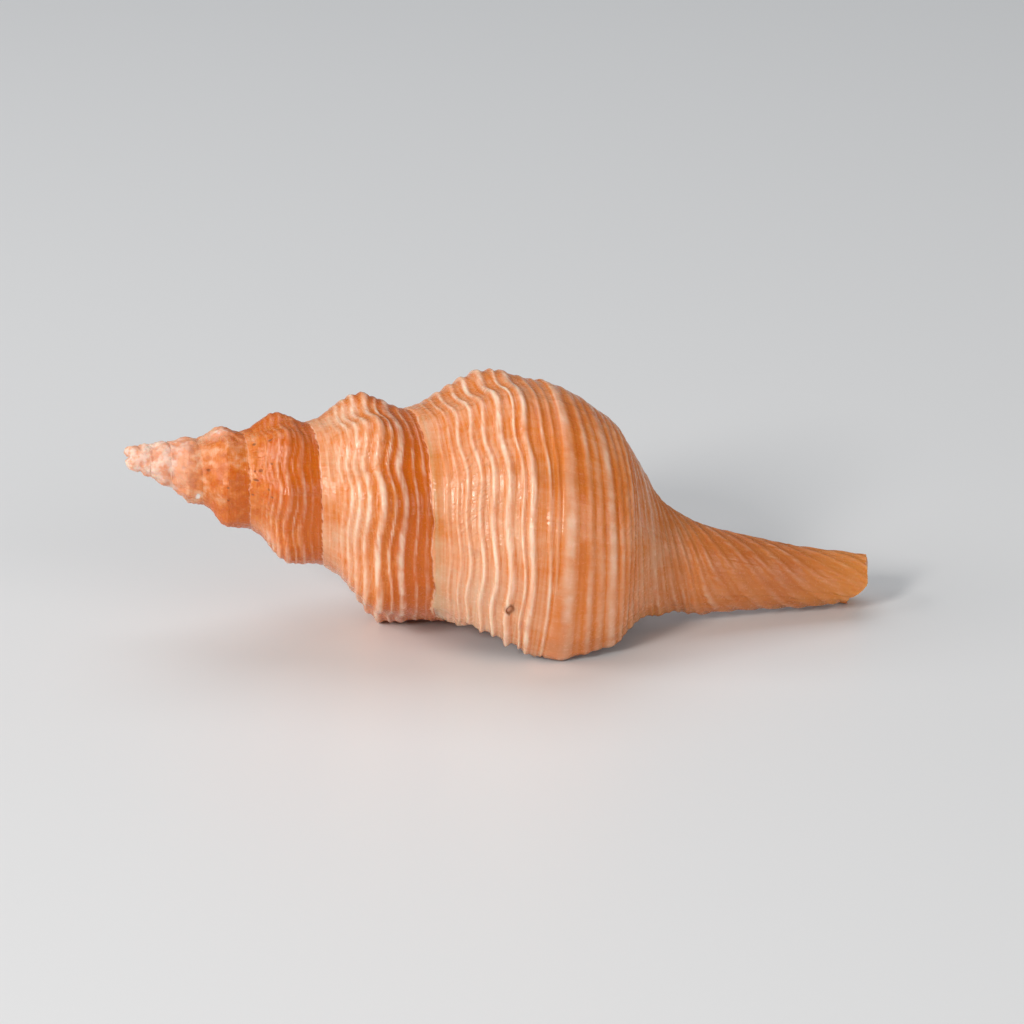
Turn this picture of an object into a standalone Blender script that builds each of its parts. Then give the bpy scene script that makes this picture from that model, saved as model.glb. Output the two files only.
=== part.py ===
"""Horse conch: one right-handed shell, grown as a single piece, lying mouth down on a flat surface.

The shell is worked out in its own frame first. The coiling axis is X, with the spire at its start and the
siphonal canal at its far end. A point on the wall has a turn, which is 0 at the lip and falls by one for
each whorl towards the spire, and a station along the profile: 0 at the suture above a whorl, 1 where the
next whorl joins on, and 2 at the end of the canal. Lengths here are in millimetres; the mesh is in metres.
"""
import math

import bmesh
import bpy
import numpy as np
from mathutils import Matrix, Vector

MM = 0.001
COLLECTION = "horse_conch"
NODE = "shell"

# growth of the spire
LIP_AZIMUTH = math.radians(143.0)     # where the lip stands, measured from the top towards the front
TURNS = 6.7                           # whorls from the worn tip to the lip
GROWTH_X = 1.52                       # growth per whorl along the axis
GROWTH_R = 1.475                      # growth per whorl away from the axis
SUTURE_X = 37.9                       # the suture at the lip
SUTURE_R = 12.3

# the joining line, continued from the lip round the body whorl for one more turn: turn, x, radius
JOIN_LINE = [(0.5, 45.2, 15.95), (1.0, 50.8, 16.5)]

# the whorl's slope: shoulder height over the chord, and the shoulder's station, by turn
SHOULDER_TURNS = [-1.5, -0.95, -0.46, 0.0]
SHOULDER_RISE = [0.174, 0.174, 0.130, 0.01]
SHOULDER_STATION = [0.59, 0.59, 0.685, 0.885]
STEEP_SHARE = 0.35                    # share of the rise that comes at an even slope below the suture
FALL_SHARE = 0.75                     # share of the fall past the shoulder that is an even slope
CREST_SOFTENING = 0.06
CREST_WIDTH = 0.08

# the base, the neck and the canal, at three turns: x, radius
BASE_TURNS = [-1.0, -0.46, 0.0]
BASE_START = [(41.4, 11.4), (44.6, 8.9), (46.8, 6.9), (48.8, 5.0), (51.5, 3.7), (56.0, 2.9), (63.0, 2.4),
              (74.0, 2.2), (85.5, 2.7)]
BASE_TOP = [(52.7, 13.8), (55.2, 11.8), (58.2, 8.3), (60.1, 5.8), (62.5, 4.3), (66.6, 3.0), (71.8, 2.8),
            (78.3, 2.8), (87.3, 3.5)]
BASE_LIP = [(58.0, 14.5), (60.2, 11.6), (61.6, 9.3), (63.5, 8.4), (65.6, 7.3), (67.9, 7.1), (73.1, 5.7),
            (78.8, 4.3), (84.6, 2.9)]

# the lip's edge and the canal's slot, as turns added along the profile: station, turns
LIP_SWEEP = [(0.0, 0.0), (0.35, -0.026), (1.1, -0.0325), (1.35, -0.01), (1.6, 0.03), (2.0, 0.06)]
SLOT_SWEEP = [(1.0, 0.0), (1.35, 0.0), (1.6, 0.10), (2.0, 0.13)]

# the ribs: azimuth of each crest in degrees, by whorl, counted back from the lip
RIB_CRESTS = [
    [210, 172, 130, 94, 50, 15, -25, -62, -100],
    [222, 186, 130, 70, 29, -22, -70],
    [240, 190, 138, 78, 30, -22, -75],
    [240, 190, 140, 85, 35, -20, -75],
    [240, 185, 135, 80, 30, -22, -75],
    [240, 185, 135, 80, 30, -22, -75],
    [-100, -150, -200, -250, -300, -350, -400],
]
RIB_STRENGTH_TURNS = [-6.0, -4.0, -3.0, -1.0, -0.3, 0.0]
RIB_STRENGTH = [0.0, 0.07, 0.24, 0.27, 0.15, 0.12]

# the swollen rib that the underside rests on: turn, station, height, and how far it spreads
SWELLING = (-0.885, 0.6)
SWELLING_HEIGHT = 0.8
SWELLING_SPREAD = (0.09, 0.3)

# the worn tip of the spire
TIP_RINGS = [0.85, 0.5]
TIP_HEIGHT = 0.7

# the wall and the hollow
LIP_WALL = 0.7                        # thickness at the lip's edge
DEEP_WALL = 1.3                       # thickness a little way in
WALL_DEPTH = 0.12                     # turns over which it thickens
CALLUS = 0.25                         # glaze over the earlier whorl inside the mouth
CORNER_INSET = 0.16                   # how far the hollow stays out of the suture's corner
CORNER_REACH = 0.5                    # stations over which it does
EDGE_GLAZE = 0.5                      # share of the glaze at its own edge
PILLAR_FROM = 1.2                     # station where the glaze becomes the columella
PILLAR_SPAN = 0.3
PILLAR_GAP = 0.3                      # least room between the columella and the wall
CANAL_FROM = 1.3                      # station where the wall thins towards the canal
CANAL_SPAN = 0.4
CANAL_THINNING = 0.35
PILLAR_X = [40.0, 52.0, 62.0, 88.0]
PILLAR_R = [2.6, 2.2, 1.7, 1.4]       # the columella's radius along the axis
CANAL_DEPTH = 0.40                    # turns that the mouth reaches back before the hollow is a tube
HOLLOW_TURNS = 2.3                    # turns of tube beyond that
TUBE_END = 0.02                       # turns by which the tube's end is domed

# the canal leans a little off the axis
LEAN_FROM = 55.0
LEAN_LENGTH = 30.0
CANAL_LEAN = -0.75

# how the shell lies
TILT = math.radians(12.05)            # canal end down
ROLL = math.radians(-0.21)
YAW = math.radians(4.9)               # canal end back

# mesh steps
STEPS = 40                            # per turn; even
SLOPE_STEPS = 7
BASE_STEPS = 15
NECK_STEP = 7                         # base step where the tube parts from the canal
TUBE_STEP = 2                         # the tube uses every second step of a turn

COLOUR = (0.72, 0.33, 0.13, 1.0)
ROUGHNESS = 0.4


def cubic_through(knots, values, x):
    """A smooth curve through values at the given knots."""
    knots = np.asarray(knots, float)
    values = np.asarray(values, float)
    span = np.diff(knots)
    slope = np.diff(values) / span
    inner = (slope[:-1] * span[1:] + slope[1:] * span[:-1]) / (span[:-1] + span[1:])
    tangent = np.concatenate([slope[:1], inner, slope[-1:]])
    x = min(max(x, knots[0]), knots[-1])
    i = min(int(np.searchsorted(knots, x, side="right")) - 1, len(knots) - 2)
    i = max(i, 0)
    return hermite(values[i], values[i + 1], tangent[i] * span[i], tangent[i + 1] * span[i],
                   (x - knots[i]) / span[i])


def hermite(start, end, start_tangent, end_tangent, t):
    return (start * (1 + 2 * t) * (1 - t) ** 2 + start_tangent * t * (1 - t) ** 2
            + end * t * t * (3 - 2 * t) + end_tangent * t * t * (t - 1))


def ease(t):
    t = min(max(t, 0.0), 1.0)
    return t * t * (3 - 2 * t)


def sweep(table, station):
    stations, turns = zip(*table)
    return float(np.interp(station, stations, turns))


def suture(turn):
    """The line where each whorl joins the one before it, as an (x, radius) point."""
    if turn <= 0:
        return np.array([SUTURE_X * GROWTH_X ** turn, SUTURE_R * GROWTH_R ** turn])
    before = suture(-0.5)
    at_lip = suture(0.0)
    knots = [-0.5, 0.0] + [row[0] for row in JOIN_LINE]
    along = [before[0], at_lip[0]] + [row[1] for row in JOIN_LINE]
    radius = [before[1], at_lip[1]] + [row[2] for row in JOIN_LINE]
    return np.array([cubic_through(knots, along, turn), cubic_through(knots, radius, turn)])


def crest_turns():
    turns = []
    for whorl, crests in enumerate(RIB_CRESTS):
        turns += [(math.radians(azimuth) - LIP_AZIMUTH) / math.tau - whorl for azimuth in crests]
    return sorted(turns)


RIB_TURNS = crest_turns()


def rib(turn):
    """1 on the crest of a rib and -1 halfway to the next."""
    i = int(np.clip(np.searchsorted(RIB_TURNS, turn, side="right") - 1, 0, len(RIB_TURNS) - 2))
    return math.cos(math.tau * (turn - RIB_TURNS[i]) / (RIB_TURNS[i + 1] - RIB_TURNS[i]))


def swelling(turn, station):
    round_it = (turn - SWELLING[0]) / SWELLING_SPREAD[0]
    across_it = (station - SWELLING[1]) / SWELLING_SPREAD[1]
    return SWELLING_HEIGHT * math.exp(-round_it ** 2 - across_it ** 2)


def slope_point(turn, station):
    """The whorl between its suture and the next joining line, with its ribbed shoulder."""
    start = suture(turn)
    chord = suture(turn + 1) - start
    clamped = min(max(turn, SHOULDER_TURNS[0]), 0.0)
    rise = cubic_through(SHOULDER_TURNS, SHOULDER_RISE, clamped)
    shoulder = cubic_through(SHOULDER_TURNS, SHOULDER_STATION, clamped)
    rise *= 1 + float(np.interp(turn, RIB_STRENGTH_TURNS, RIB_STRENGTH)) * rib(turn)
    if station < shoulder:
        up = station / shoulder
        height = STEEP_SHARE * up + (1 - STEEP_SHARE) * ease(up)
    else:
        down = (1 - station) / (1 - shoulder)
        height = FALL_SHARE * down + (1 - FALL_SHARE) * ease(down)
    height -= CREST_SOFTENING * math.exp(-((station - shoulder) / CREST_WIDTH) ** 2)
    normal = np.array([-chord[1], chord[0]])
    return start + station * chord + rise * height * normal + np.array([0.0, swelling(turn, station)])


def base_point(turn, station):
    """The base, the neck and the canal of the last whorl."""
    clamped = min(max(turn, -1.0), 0.1)
    controls = [slope_point(turn, 0.9), suture(turn + 1)]
    for at_start, at_top, at_lip in zip(BASE_START, BASE_TOP, BASE_LIP):
        stages = np.array([at_start, at_top, at_lip])
        controls.append(np.array([cubic_through(BASE_TURNS, stages[:, axis], clamped) for axis in (0, 1)]))
    spans = len(BASE_LIP)
    place = min((station - 1) * spans, spans - 1e-9)
    i = int(place)
    before, start, end = controls[i], controls[i + 1], controls[i + 2]
    after = controls[min(i + 3, spans + 1)]
    start_tangent = (end - before) / 2
    if i == 0:
        start_tangent = (start - before) / np.linalg.norm(start - before) * np.linalg.norm(end - start)
    return hermite(start, end, start_tangent, (after - start) / 2, place - i)


def wall_point(turn, station):
    if station <= 1:
        return slope_point(turn, station)
    return base_point(turn, station)


def inward(turn, station):
    """The direction into the wall, square to its profile."""
    reach = 0.02
    low = max(station - reach, 0.0)
    high = min(station + reach, 2.0)
    along = wall_point(turn, high) - wall_point(turn, low)
    along /= np.linalg.norm(along)
    return np.array([along[1], -along[0]])


def in_space(point, azimuth):
    """An (x, radius) point turned to its azimuth, with the canal's lean."""
    lean = CANAL_LEAN * max((point[0] - LEAN_FROM) / LEAN_LENGTH, 0.0) ** 2
    return (point[0] * MM, -point[1] * math.sin(azimuth) * MM, (point[1] * math.cos(azimuth) + lean) * MM)


def stations():
    slope = [i / SLOPE_STEPS for i in range(SLOPE_STEPS + 1)]
    return slope + [1 + i / BASE_STEPS for i in range(1, BASE_STEPS + 1)]


class Loft:
    """Rows of vertices, and the quads between neighbouring rows."""

    def __init__(self):
        self.mesh = bmesh.new()

    def vertex(self, point, turn):
        return self.mesh.verts.new(in_space(point, LIP_AZIMUTH + math.tau * turn))

    def face(self, *corners):
        distinct = []
        for corner in corners:
            if corner not in distinct:
                distinct.append(corner)
        if len(distinct) > 2:
            self.mesh.faces.new(distinct)

    def strip(self, first, second):
        for i in range(len(first) - 1):
            self.face(first[i], first[i + 1], second[i + 1], second[i])

    def cap(self, loop, point, turn):
        centre = self.vertex(point, turn)
        for i, corner in enumerate(loop):
            self.face(corner, loop[(i + 1) % len(loop)], centre)


def grow_spire(loft):
    """The whorls above the last one; a whorl's last column is the next whorl's suture."""
    rows = int(round((TURNS - 1) * STEPS))
    grid = {}
    for row in range(rows + STEPS + 1):
        turn = -TURNS + row / STEPS
        columns = 1 if row > rows else SLOPE_STEPS
        for column in range(columns):
            grid[row, column] = loft.vertex(slope_point(turn, column / SLOPE_STEPS), turn)
    lines = []
    for row in range(rows + 1):
        lines.append([grid[row, column] for column in range(SLOPE_STEPS)] + [grid[row + STEPS, 0]])
    for upper, lower in zip(lines[:-1], lines[1:]):
        loft.strip(upper, lower)
    tip_loop = list(reversed(lines[0][1:]))
    tip_loop += [grid[row, 0] for row in range(STEPS)]
    wear_tip(loft, tip_loop)
    last_suture = [grid[rows + row, 0] for row in range(STEPS + 1)]
    return lines[-1], last_suture


def wear_tip(loft, loop):
    """The worn tip: the loop drawn in to a blunt dome."""
    corners = [corner.co.copy() for corner in loop]
    middle = sum(corners, Vector()) / len(corners)
    for share in TIP_RINGS:
        rise = TIP_HEIGHT * MM * math.sqrt(1 - share * share)
        ring = [loft.mesh.verts.new(middle.lerp(corner, share) - Vector((rise, 0, 0))) for corner in corners]
        loft.strip(loop + loop[:1], ring + ring[:1])
        loop = ring
    centre = loft.mesh.verts.new(middle - Vector((TIP_HEIGHT * MM, 0, 0)))
    for i, corner in enumerate(loop):
        loft.face(corner, loop[(i + 1) % len(loop)], centre)


def grow_body(loft, first_line, last_suture):
    """The last whorl with the base and the canal, from one turn back up to the lip's edge."""
    columns = stations()
    start_line = list(first_line)
    for station in columns[SLOPE_STEPS + 1:]:
        turn = -1 + sweep(SLOT_SWEEP, station)
        start_line.append(loft.vertex(wall_point(turn, station), turn))
    lines = [start_line]
    for row in range(1, STEPS + 1):
        line = [last_suture[row]]
        for station in columns[1:]:
            start = -1 + (sweep(SLOT_SWEEP, station) if station > 1 else 0.0)
            end = sweep(LIP_SWEEP, station)
            turn = start + (end - start) * row / STEPS
            line.append(loft.vertex(wall_point(turn, station), turn))
        lines.append(line)
    for upper, lower in zip(lines[:-1], lines[1:]):
        loft.strip(upper, lower)
    return lines


def outer_hollow_point(station, share):
    """The hollow's outer side, inside the last whorl's wall."""
    turn = sweep(LIP_SWEEP, station) * (1 - share) - CANAL_DEPTH * share
    depth = sweep(LIP_SWEEP, station) - turn
    wall = LIP_WALL + (DEEP_WALL - LIP_WALL) * ease(depth / WALL_DEPTH)
    inset = station + CORNER_INSET * max(1 - station / CORNER_REACH, 0.0) ** 2
    wall *= 1 - CANAL_THINNING * ease((station - CANAL_FROM) / CANAL_SPAN)
    point = wall_point(turn, inset) + wall * inward(turn, inset)
    neck = ease((station - 1 - (NECK_STEP - 2) / BASE_STEPS) / (2 / BASE_STEPS))
    pillar = pillar_radius(point[0])
    point[1] = max(point[1], pillar + PILLAR_GAP)
    point[1] += (pillar - point[1]) * neck * share ** 3
    return point, turn


def pillar_radius(x):
    return float(np.interp(x, PILLAR_X, PILLAR_R))


def inner_hollow_point(station, share, outer):
    """The hollow's inner side: the glazed earlier whorl, then the columella."""
    turn = -1 + sweep(SLOT_SWEEP, station) * (1 - share) - CANAL_DEPTH * share
    age = min(turn + 1, 0.0)
    start = wall_point(-1.0, station)
    glaze = CALLUS if share > 0 else EDGE_GLAZE * CALLUS
    earlier = start * np.array([GROWTH_X, GROWTH_R]) ** age - glaze * inward(-1.0, station)
    pillar = np.array([outer[0], pillar_radius(outer[0])])
    canal = ease((station - PILLAR_FROM) / PILLAR_SPAN)
    return earlier + (pillar - earlier) * canal, turn


def grow_mouth(loft, body_lines):
    """The lip's edge, the end of the canal and the first part of the hollow behind them."""
    columns = stations()
    neck = SLOPE_STEPS + NECK_STEP
    rows = STEPS // 2
    outer_lines = []
    inner_lines = []
    for row in range(rows + 1):
        share = row / rows
        outer = []
        inner = []
        for column, station in enumerate(columns):
            point, turn = outer_hollow_point(station, share)
            outer.append(loft.vertex(point, turn))
            if column > SLOPE_STEPS:
                if share == 1 and column >= neck:
                    inner.append(outer[-1])
                else:
                    inner.append(loft.vertex(*inner_hollow_point(station, share, point)))
        outer_lines.append(outer)
        inner_lines.append([outer[0]] + inner)
    for upper, lower in zip(outer_lines[:-1], outer_lines[1:]):
        loft.strip(upper, lower)
    for upper, lower in zip(inner_lines[:-1], inner_lines[1:]):
        loft.strip(upper, lower)
    loft.strip(body_lines[-1], outer_lines[0])
    loft.strip(body_lines[0][SLOPE_STEPS:], inner_lines[0])
    canal_end = [line[-1] for line in body_lines]
    groove = [line[-1] for line in inner_lines] + [line[-1] for line in reversed(outer_lines[:-1])]
    loft.strip(canal_end, groove)
    inner_side = inner_lines[-1][1:NECK_STEP]
    return outer_lines[-1][:neck + 1] + list(reversed(inner_side))


def grow_tube(loft, loop):
    """The hollow's tube, wound back up inside the whorls and smaller by the same growth."""
    from_axis = []
    for corner in loop:
        from_axis.append((corner.co.x / MM, math.hypot(corner.co.y, corner.co.z) / MM))
    profile = np.array(from_axis)
    rows = int(round(HOLLOW_TURNS * STEPS / TUBE_STEP))
    for row in range(1, rows + 1):
        deeper = row * TUBE_STEP / STEPS
        scaled = profile * np.array([GROWTH_X, GROWTH_R]) ** -deeper
        next_loop = [loft.vertex(point, -CANAL_DEPTH - deeper) for point in scaled]
        loft.strip(loop + loop[:1], next_loop + next_loop[:1])
        loop = next_loop
    loft.cap(loop, scaled.mean(axis=0), -CANAL_DEPTH - deeper - TUBE_END)


def make_shell():
    loft = Loft()
    first_line, last_suture = grow_spire(loft)
    body_lines = grow_body(loft, first_line, last_suture)
    loop = grow_mouth(loft, body_lines)
    grow_tube(loft, loop)
    bmesh.ops.recalc_face_normals(loft.mesh, faces=loft.mesh.faces)
    bmesh.ops.triangulate(loft.mesh, faces=loft.mesh.faces)
    mesh = bpy.data.meshes.new(NODE)
    loft.mesh.to_mesh(mesh)
    loft.mesh.free()
    mesh.shade_smooth()
    mesh.set_sharp_from_angle(angle=math.radians(60))
    return mesh


def lay_down(mesh):
    """Turns the shell to how it lies, centres it and sets its lowest point on the surface."""
    turned = Matrix.Rotation(YAW, 4, "Z") @ Matrix.Rotation(TILT, 4, "Y") @ Matrix.Rotation(ROLL, 4, "X")
    mesh.transform(turned)
    corners = np.array([corner.co[:] for corner in mesh.vertices])
    low = corners.min(axis=0)
    high = corners.max(axis=0)
    centre = (low + high) / 2
    mesh.transform(Matrix.Translation((-centre[0], -centre[1], -low[2])))


def shell_material():
    material = bpy.data.materials.new("shell_wall")
    material.use_nodes = True
    principled = material.node_tree.nodes["Principled BSDF"]
    principled.inputs["Base Color"].default_value = COLOUR
    principled.inputs["Roughness"].default_value = ROUGHNESS
    principled.inputs["Metallic"].default_value = 0.0
    return material


def main():
    for old in list(bpy.data.objects):
        bpy.data.objects.remove(old)
    collection = bpy.data.collections.new(COLLECTION)
    bpy.context.scene.collection.children.link(collection)
    mesh = make_shell()
    lay_down(mesh)
    mesh.materials.append(shell_material())
    collection.objects.link(bpy.data.objects.new(NODE, mesh))


main()
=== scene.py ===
"""A horse conch shell, lying mouth down on a pale table.

The wall is laid out as the animal grows it. A point has a turn, 0 at the lip and one less for each whorl
towards the spire, and a station along the profile: 0 at the suture above, 1 where the next whorl joins on and
2 at the canal's end. Each skin is a flat grid wrapped to its turns and stations, then merged with the others.
Lengths are mm until the mesh is made.
"""
import math

import bmesh
import bpy
import numpy as np
from mathutils import Matrix, Vector, noise


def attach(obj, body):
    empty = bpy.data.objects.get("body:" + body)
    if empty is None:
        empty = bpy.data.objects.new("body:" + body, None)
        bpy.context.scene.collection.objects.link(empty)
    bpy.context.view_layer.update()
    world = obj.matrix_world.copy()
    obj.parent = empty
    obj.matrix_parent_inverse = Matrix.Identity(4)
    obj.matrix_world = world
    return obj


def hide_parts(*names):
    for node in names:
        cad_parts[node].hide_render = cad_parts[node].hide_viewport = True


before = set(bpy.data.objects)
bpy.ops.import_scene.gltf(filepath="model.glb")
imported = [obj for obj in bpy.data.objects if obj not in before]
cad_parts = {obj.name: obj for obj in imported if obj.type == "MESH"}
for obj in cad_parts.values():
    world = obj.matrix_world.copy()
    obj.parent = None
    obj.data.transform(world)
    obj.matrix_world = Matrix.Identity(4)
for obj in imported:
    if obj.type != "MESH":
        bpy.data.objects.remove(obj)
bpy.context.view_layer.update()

MM = 0.001
NODE = "shell"

# ---------------- growth of the wall

LIP_AZIMUTH = math.radians(143.0)  # from the top towards the front
TURNS = 6.7  # whorls from the worn tip to the lip
GROWTH_X = 1.52  # per whorl, along the axis
GROWTH_R = 1.475  # and away from it
SUTURE_X = 37.9  # the suture at the lip
SUTURE_R = 12.3
JOIN_LINE = [(0.5, 45.2, 15.95), (1.0, 50.8, 16.5)]  # turn, x, radius

# the shoulder: turn, rise as a share of the whorl's chord, station
SHOULDER = [(-1.5, 0.174, 0.59), (-0.95, 0.174, 0.59), (-0.46, 0.13, 0.685), (0.0, 0.01, 0.885)]
STEEP_SHARE = 0.35
FALL_SHARE = 0.75
CREST_SOFTENING = 0.06
CREST_WIDTH = 0.08

BASE_TURNS = [-1.0, -0.46, 0.0]
BASE_START = [(41.4, 11.4), (44.6, 8.9), (46.8, 6.9), (48.8, 5.0), (51.5, 3.7), (56.0, 2.9), (63.0, 2.4),
              (74.0, 2.2), (85.5, 2.7)]
BASE_TOP = [(52.7, 13.8), (55.2, 11.8), (58.2, 8.3), (60.1, 5.8), (62.5, 4.3), (66.6, 3.0), (71.8, 2.8),
            (78.3, 2.8), (87.3, 3.5)]
BASE_LIP = [(58.0, 14.5), (60.2, 11.6), (61.6, 9.3), (63.5, 8.4), (65.6, 7.3), (67.9, 7.1), (73.1, 5.7),
            (78.8, 4.3), (84.6, 2.9)]

# the lip's worn and chipped edge, and the canal's slot, as turns added along the profile: station, turns
LIP_EDGE = [(0.12, 0.0), (0.22, -0.004), (0.28, -0.014), (0.297, -0.03), (0.32, -0.034),
            (0.4, -0.026), (0.46, -0.033), (0.56, -0.039), (0.62, -0.034), (0.675, -0.027), (0.7, -0.035),
            (0.76, -0.036), (0.85, -0.03), (0.92, -0.026), (0.955, -0.034), (1.0, -0.034), (1.03, -0.036),
            (1.06, -0.042), (1.1, -0.046), (1.2, -0.044), (1.27, -0.034), (1.33, -0.02), (1.4, -0.01),
            (1.47, 0.0), (1.6, 0.03), (2.0, 0.06)]
LIP_JAG = 0.0016  # how far the cords' ends stand out, turns
LIP_CORDS_TURN = -0.04  # turn whose cords shape the lip
SLOT_SWEEP = [(1.35, 0.0), (1.6, 0.1), (2.0, 0.13)]

# the canal's broken end, as mm added along the axis: turns, mm
CANAL_END = [(-1.0, 0.1), (-0.6, -0.3), (-0.42, -0.5), (-0.33, -0.45), (-0.27, 0.2), (-0.2, 0.75),
             (-0.12, 0.2), (-0.06, -0.5), (0.06, -0.9)]
CANAL_FRAY = (1.8, 0.15)  # its unevenness: pitch and height, mm
LIP_ROUND = 0.16  # rounding of the edges, mm
CANAL_ROUND = 0.14

# where the ribs' crests stand, in degrees, last whorl first
RIB_CRESTS = [
    [210, 172, 130, 94, 50, 15, -25, -62, -100], [222, 186, 130, 70, 29, -22, -70],
    [240, 190, 138, 78, 30, -22, -75], [240, 190, 140, 85, 35, -20, -75], [240, 185, 135, 80, 30, -22, -75],
    [240, 185, 135, 80, 30, -22, -75], [-100, -150, -200, -250, -300, -350, -400],
]
RIB_STRENGTH = [(-6.0, 0.0), (-4.0, 0.07), (-3.0, 0.24), (-1.0, 0.27), (-0.3, 0.15), (0.0, 0.12)]

SWELLING = ((-0.885, 0.09), (0.6, 0.3))  # turn and its reach, station and its reach
SWELLING_HEIGHT = 0.8

# the worn tip: shares of the first whorl's radius, and how far along the axis each ring stands out, mm
TIP_RINGS = [(1.0, 0.0), (1.0, 0.28), (0.98, 0.55), (0.93, 0.8), (0.84, 1.02), (0.72, 1.18), (0.57, 1.29),
             (0.41, 1.35), (0.26, 1.38), (0.12, 1.39), (0.0, 1.39)]
TIP_PITTED = (0.7, 0.1)  # lumps: size mm, height as a share of the radius
TIP_SWELL = 0.36  # how much fatter the worn tip is, mm
TIP_SWELL_AT = (2.5, 1.7)  # mm along the axis, and its reach
TIP_CLEFT = 0.42  # a worn notch, mm deep
TIP_CLEFT_WIDTH = 0.2  # as a share of the radius
TIP_CLEFT_AZIMUTH = math.radians(-22)

LIP_WALL = 0.45  # thickness at the lip's edge
DEEP_WALL = 1.3  # thickness a little way in
WALL_DEPTH = 0.12  # turns over which it thickens
CALLUS = 0.25  # glaze over the earlier whorl inside the mouth
CORNER_INSET = 0.16
CORNER_REACH = 0.5
EDGE_GLAZE = 0.5
PILLAR_GAP = 0.3
CANAL_THIN = (1.3, 0.4)  # station where the canal's wall starts to thin, and the fade
CANAL_THINNING = 0.35
PILLAR = [(40.0, 2.6), (52.0, 2.2), (62.0, 1.7), (88.0, 1.4)]  # the columella's radius along the axis
FOLDS = [47.5, 49.6, 51.5]  # the columella's folds, mm along the axis at the mouth
FOLD_PITCH = 9.0  # how far they run along the axis in a turn
FOLD_WIDTH = 0.8
FOLD_HEIGHT = 0.45
LIRAE = 1.2  # ridges inside the lip, against the cords outside
LIRAE_AT_LIP = 0.5  # and how deep they cut its edge
CANAL_DEPTH = 0.4  # turns back to where the hollow is a tube
HOLLOW_TURNS = 2.3
NECK_FROM = 4 / 3  # station where the hollow closes on the columella
NECK = 22 / 15  # and where it is closed
LEAN_FROM = 55.0
LEAN_LENGTH = 30.0
CANAL_LEAN = -0.75

TILT = math.radians(12.05)  # canal end down
ROLL = math.radians(-0.21)
YAW = math.radians(4.9)  # canal end back
AXIS_START = (-43.6485, -3.1816, 21.5864)  # in the frame, mm

# ---------------- sculpture

# spiral cords on the whorls: station on the early whorls, at the top of the last whorl and near the lip,
# half width in stations, height in mm on the last whorl, and how pale they are
CORD_TURNS = [-1.2, -0.35, -0.1]
CORDS = [
    (0.085, 0.11, 0.14, 0.013, 0.06, 0.45), (0.2, 0.18, 0.225, 0.013, 0.08, 0.6),
    (0.275, 0.25, 0.305, 0.017, 0.14, 0.8), (0.35, 0.35, 0.42, 0.018, 0.17, 0.85),
    (0.445, 0.445, 0.525, 0.021, 0.19, 0.9), (0.57, 0.56, 0.65, 0.027, 0.24, 0.9),
    (0.67, 0.665, 0.76, 0.012, 0.13, 0.9), (0.76, 0.74, 0.825, 0.026, 0.16, 0.85),
    (0.87, 0.855, 0.96, 0.014, 0.08, 0.65), (0.95, 0.93, 1.0, 0.011, 0.06, 0.5),
]
CORD_WOBBLE = [(-1.5, 0.045), (-1.0, 0.035), (-0.5, 0.026), (0.0, 0.022)]  # how far it swings out on a rib
CORD_RELIEF = [(-4.5, 0.1), (-3.2, 0.4), (-2.3, 0.85), (-1.4, 1.0)]  # share of height, by turn
CORD_COLOUR = [(-4.0, 0.0), (-3.2, 0.25), (-2.4, 0.42), (-1.6, 0.85), (-0.9, 0.92), (0.0, 0.95)]
CORD_BROADER = [(-3.0, 1.8), (-2.0, 1.6), (-1.4, 1.4), (-0.8, 1.15), (-0.5, 1.0)]  # how much broader
CORD_BREAKS = (1.3, 0.8)  # mm along and across at which they thicken and thin
CORD_STRAY = 0.15  # how far the slanting ones stray, mm
CORD_SCALE = 1.9
CORD_FOOT = 1.6  # how much wider the foot is than the colour
CORD_TOP = (1.5, 1.25)  # half widths out where the paleness ends, fade
CORD_FOOT_SHADE = (1.4, 0.35, 0.005)  # painted shade along each cord's foot: half widths out, width, least
FOOT_SHADE_DEPTH = 0.22
PALE_LEAST = 0.12  # below this the painted shade along the foot shows
UNEVEN = (0.26, 0.1)  # everywhere, and more on the base
WHORL_LENGTH = 14.0  # mm from suture to suture on the last whorl
BASE_LENGTH = 30.0  # mm along the base and canal
RELIEF_SINK = 0.15  # cords' feet under the plain wall, mm
RIB_RELIEF = 0.26  # cords' swelling over a rib, mm
RIB_SHARE = [(-6.0, 0.3), (-3.0, 0.8), (-1.6, 1.0), (-0.5, 1.1), (-0.2, 0.9), (0.0, 0.4)]
RIB_PLACE = (0.5, 0.24)  # station and reach of the swelling
FLAT_WORN = [(-6.7, 0.3), (-5.5, 0.45), (-4.5, 0.75), (-3.6, 1.0)]  # share of the whorls' bulge that is left

# cords on the base, the neck and the canal, where they run more and more slantwise: station a fifth of a turn
# before the lip, half width, height in mm, and how pale they are
SLANT_TURN = -0.2
SLANT = [(1.0, 0.05), (1.1, 0.15), (1.2, 0.4), (1.33, 0.6), (1.6, 0.62), (2.0, 0.68)]
BASE_CORDS = [
    (1.014, 0.011, 0.11, 0.7), (1.047, 0.0055, 0.06, 0.5), (1.066, 0.005, 0.04, 0.42),
    (1.087, 0.0095, 0.09, 0.62), (1.111, 0.006, 0.05, 0.45), (1.137, 0.0075, 0.05, 0.42),
    (1.168, 0.011, 0.07, 0.48), (1.205, 0.008, 0.05, 0.3), (1.235, 0.013, 0.07, 0.42),
    (1.29, 0.008, 0.05, 0.3), (1.335, 0.016, 0.08, 0.48), (1.39, 0.0095, 0.06, 0.34),
    (1.44, 0.013, 0.09, 0.42), (1.495, 0.011, 0.09, 0.42),
]
CANAL_CORDS = (1.548, 2.65, 0.0262)  # first, last and spacing of the canal's cords
CANAL_CORD = [(0.012, 0.11, 0.44), (0.006, 0.04, 0.26)]  # a strong one and a thin one by turns
CANAL_UNEVEN = (0.12, 7.3)  # share of the spacing, and rate

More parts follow.
